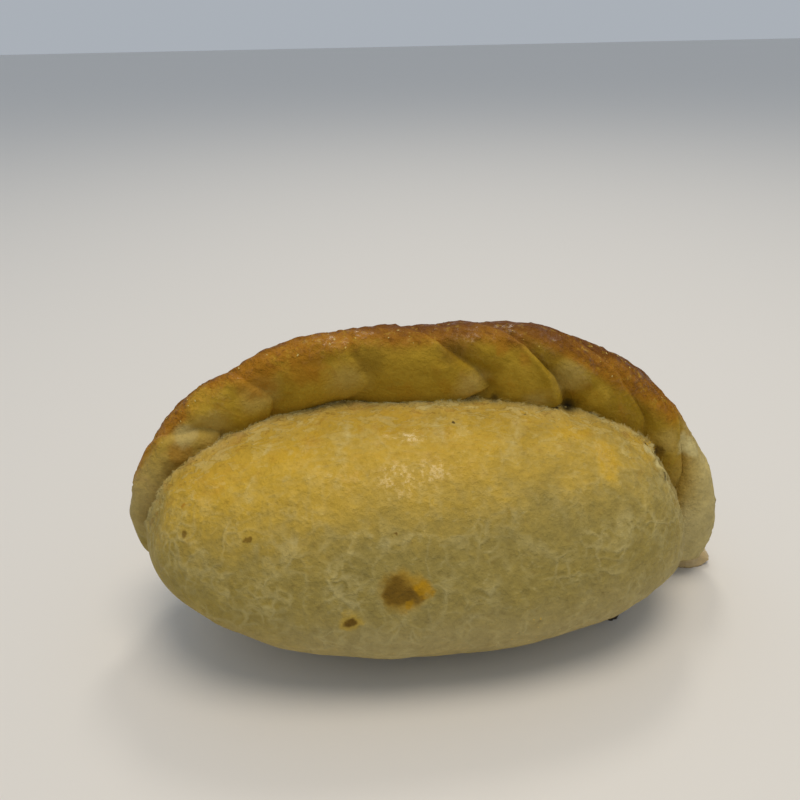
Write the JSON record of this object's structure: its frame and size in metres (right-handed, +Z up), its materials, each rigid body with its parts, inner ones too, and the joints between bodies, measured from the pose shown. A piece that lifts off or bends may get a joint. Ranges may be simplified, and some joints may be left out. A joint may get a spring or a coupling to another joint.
{
  "type": "saltena",
  "caption": "Baked dough pouch with a plump golden belly and a thick folded seam arching over it from a pinched tip to a tail at the other end, resting on a flattened base.",
  "frame": {"origin": "middle of the footprint's bounding box, on the surface it rests on", "axes": "+X along the seam from the pinched tip to the tail that comes down to the surface, -Y towards the browned front, +Z up"},
  "size_m": [0.1261, 0.0603, 0.0618],
  "materials": {
    "crust": "egg-washed baked dough, half glossy"
  },
  "bodies": {
    "root": {"saltena": "crust"}
  },
  "joints": []
}
